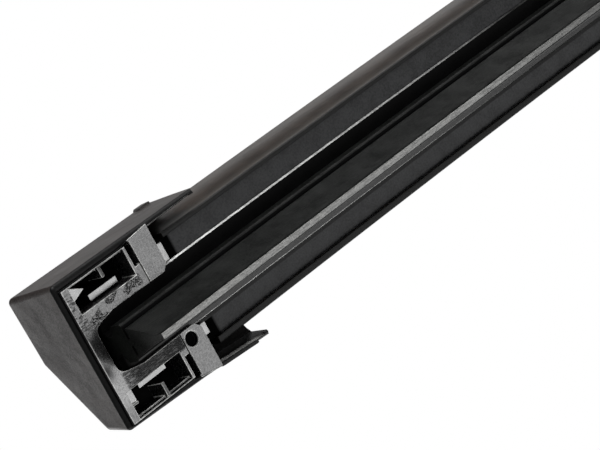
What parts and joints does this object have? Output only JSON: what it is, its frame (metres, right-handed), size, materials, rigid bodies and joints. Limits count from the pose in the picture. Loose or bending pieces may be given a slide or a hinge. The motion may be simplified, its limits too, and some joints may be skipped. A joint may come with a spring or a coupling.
{
  "type": "wiper blade",
  "caption": "Flat wiper blade: two bowed steel rails carry a rubber squeegee under a one-sided spoiler, with closed end caps and a pivoting adapter that takes a hook arm.",
  "frame": {"origin": "middle of the adapter's pivot, where the arm's hook wraps round the nose", "axes": "+X along the blade, away from the end cap that the picture shows; +Y to the windward side, which carries the spoiler's low edge; +Z away from the glass, square to the blade at its middle"},
  "size_m": [0.5998, 0.0193, 0.0579],
  "materials": {
    "squeegee_rubber": "matte, graphite coated",
    "rail_steel": "matt black coat with a fine grain",
    "spoiler_plastic": "satin",
    "cap_plastic": "fine grain, satin",
    "retainer_plastic": "smooth, glossy",
    "shroud_plastic": "fine grain, satin",
    "bracket_steel": "zinc plated",
    "pin_steel": "bright zinc",
    "bush_plastic": "natural white",
    "adapter_plastic": "satin",
    "cover_plastic": "fine grain, satin"
  },
  "bodies": {
    "adapter": {"arm_adapter": "adapter_plastic", "pivot_bush_lee": "bush_plastic", "pivot_bush_wind": "bush_plastic", "cover_hinge_pin": "pin_steel"},
    "blade": {"wiping_rubber": "squeegee_rubber", "leeward_rail": "rail_steel", "windward_rail": "rail_steel", "spoiler_near": "spoiler_plastic", "spoiler_far": "spoiler_plastic", "cap_shell_near": "cap_plastic", "cap_shell_far": "cap_plastic", "cap_retainer_near": "retainer_plastic", "cap_retainer_far": "retainer_plastic", "connector_bracket": "bracket_steel", "connector_shroud": "shroud_plastic", "pivot_pin": "pin_steel"},
    "cover": {"adapter_cover": "cover_plastic"}
  },
  "joints": [
    {"name": "blade_pivot", "type": "hinge", "parent": "adapter", "child": "blade", "pos_m": [0, 0, 0], "axis": [0, 1, 0], "range_deg": [-15, 15]},
    {"name": "cover_hinge", "type": "hinge", "parent": "adapter", "child": "cover", "pos_m": [0.0115, 0, 0.007], "axis": [0, 1, 0], "range_deg": [0, 105]}
  ]
}
